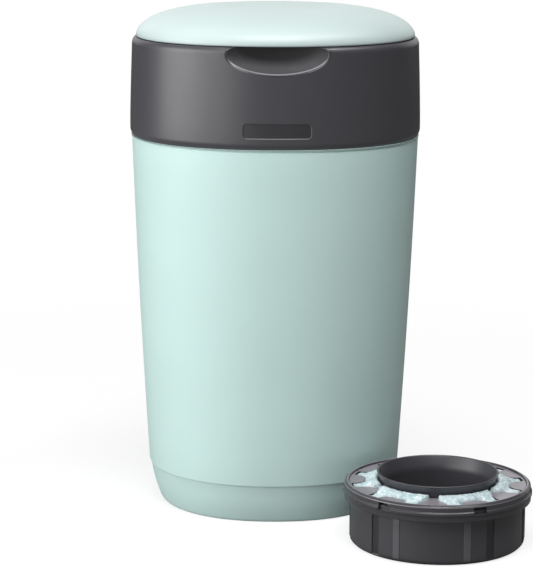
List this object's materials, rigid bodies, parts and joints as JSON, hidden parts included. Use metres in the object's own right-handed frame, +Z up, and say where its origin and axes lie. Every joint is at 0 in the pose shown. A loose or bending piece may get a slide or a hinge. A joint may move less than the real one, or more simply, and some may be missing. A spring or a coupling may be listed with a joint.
{
  "type": "nappy bin",
  "caption": "Tapered rounded-square bin with a dark head, hinged domed lid, turning film-cassette ring and sprung film flaps, with a spare ring-shaped film cassette beside it.",
  "frame": {"origin": "centre of the bucket's base, on the floor", "axes": "+Z up, the front with the finger scoop faces -Y, +X to the right seen from the front"},
  "size_m": [0.3356, 0.3517, 0.4302],
  "materials": {
    "bucket_mint": "satin injection-moulded plastic, pale mint",
    "lid_mint": "satin injection-moulded plastic, very pale mint",
    "band_charcoal": "fine spark-textured dark grey plastic",
    "deck_grey": "matt grey plastic",
    "ring_mint": "satin mint plastic",
    "seal_rubber": "soft matt seal",
    "bright_steel": "bright zinc-plated steel",
    "cassette_charcoal": "satin recycled-look dark grey plastic",
    "cover_grey": "satin dark grey plastic",
    "film_mint": "thin crumpled polythene film, pale mint"
  },
  "bodies": {
    "bucket": {"bucket": "bucket_mint"},
    "head": {"head_band": "band_charcoal", "head_deck": "deck_grey", "deck_screws": "bright_steel", "hinge_pin": "bright_steel", "pawl_pin": "bright_steel", "pawl_spring": "bright_steel", "flap_frame": "deck_grey", "frame_screws": "bright_steel", "flap_pins": "bright_steel", "flap_springs": "bright_steel", "cutter_guard": "band_charcoal", "cutter_blade": "bright_steel"},
    "lid": {"lid_shell": "lid_mint", "lid_tray": "band_charcoal", "seal_holder": "band_charcoal", "lid_seal": "seal_rubber"},
    "ring": {"twist_ring": "ring_mint", "ring_retainer": "band_charcoal", "cassette_tub": "cassette_charcoal", "cassette_core": "cassette_charcoal", "cassette_cover": "cover_grey", "cassette_film": "film_mint"},
    "pawl": {"click_pawl": "band_charcoal"},
    "flap_front": {"film_flap_front": "ring_mint"},
    "flap_right": {"film_flap_right": "ring_mint"},
    "flap_back": {"film_flap_back": "ring_mint"},
    "flap_left": {"film_flap_left": "ring_mint"},
    "spare": {"spare_tub": "cassette_charcoal", "spare_core": "cassette_charcoal", "spare_cover": "cover_grey", "spare_film": "film_mint"}
  },
  "joints": [
    {"name": "head_lift", "type": "slide", "parent": "bucket", "child": "head", "axis": [0, 0, 1], "range_m": [0, 0.12]},
    {"name": "lid_hinge", "type": "hinge", "parent": "head", "child": "lid", "pos_m": [0, 0.115, 0.4025], "axis": [-1, 0, 0], "range_deg": [0, 95]},
    {"name": "ring_twist", "type": "hinge", "parent": "head", "child": "ring", "pos_m": [0, 0, 0.392], "axis": [0, 0, 1], "continuous": true},
    {"name": "pawl_click", "type": "hinge", "parent": "head", "child": "pawl", "pos_m": [0.03491, -0.09647, 0.386], "axis": [0, 0, -1], "range_deg": [0, 9], "stiffness_Nm_per_rad": 0.02, "springref_deg": -5.73},
    {"name": "flap_front_swing", "type": "hinge", "parent": "head", "child": "flap_front", "pos_m": [0, -0.054, 0.327], "axis": [-1, 0, 0], "range_deg": [0, 75], "stiffness_Nm_per_rad": 0.02, "springref_deg": -11.46},
    {"name": "flap_right_swing", "type": "hinge", "parent": "head", "child": "flap_right", "pos_m": [0.054, 0, 0.327], "axis": [0, -1, 0], "range_deg": [0, 75], "stiffness_Nm_per_rad": 0.02, "springref_deg": -11.46},
    {"name": "flap_back_swing", "type": "hinge", "parent": "head", "child": "flap_back", "pos_m": [0, 0.054, 0.327], "axis": [1, 0, 0], "range_deg": [0, 75], "stiffness_Nm_per_rad": 0.02, "springref_deg": -11.46},
    {"name": "flap_left_swing", "type": "hinge", "parent": "head", "child": "flap_left", "pos_m": [-0.054, 0, 0.327], "axis": [0, 1, 0], "range_deg": [0, 75], "stiffness_Nm_per_rad": 0.02, "springref_deg": -11.46},
    {"name": "spare_lift", "type": "slide", "parent": "bucket", "child": "spare", "axis": [0, 0, 1], "range_m": [0, 0.1]}
  ]
}
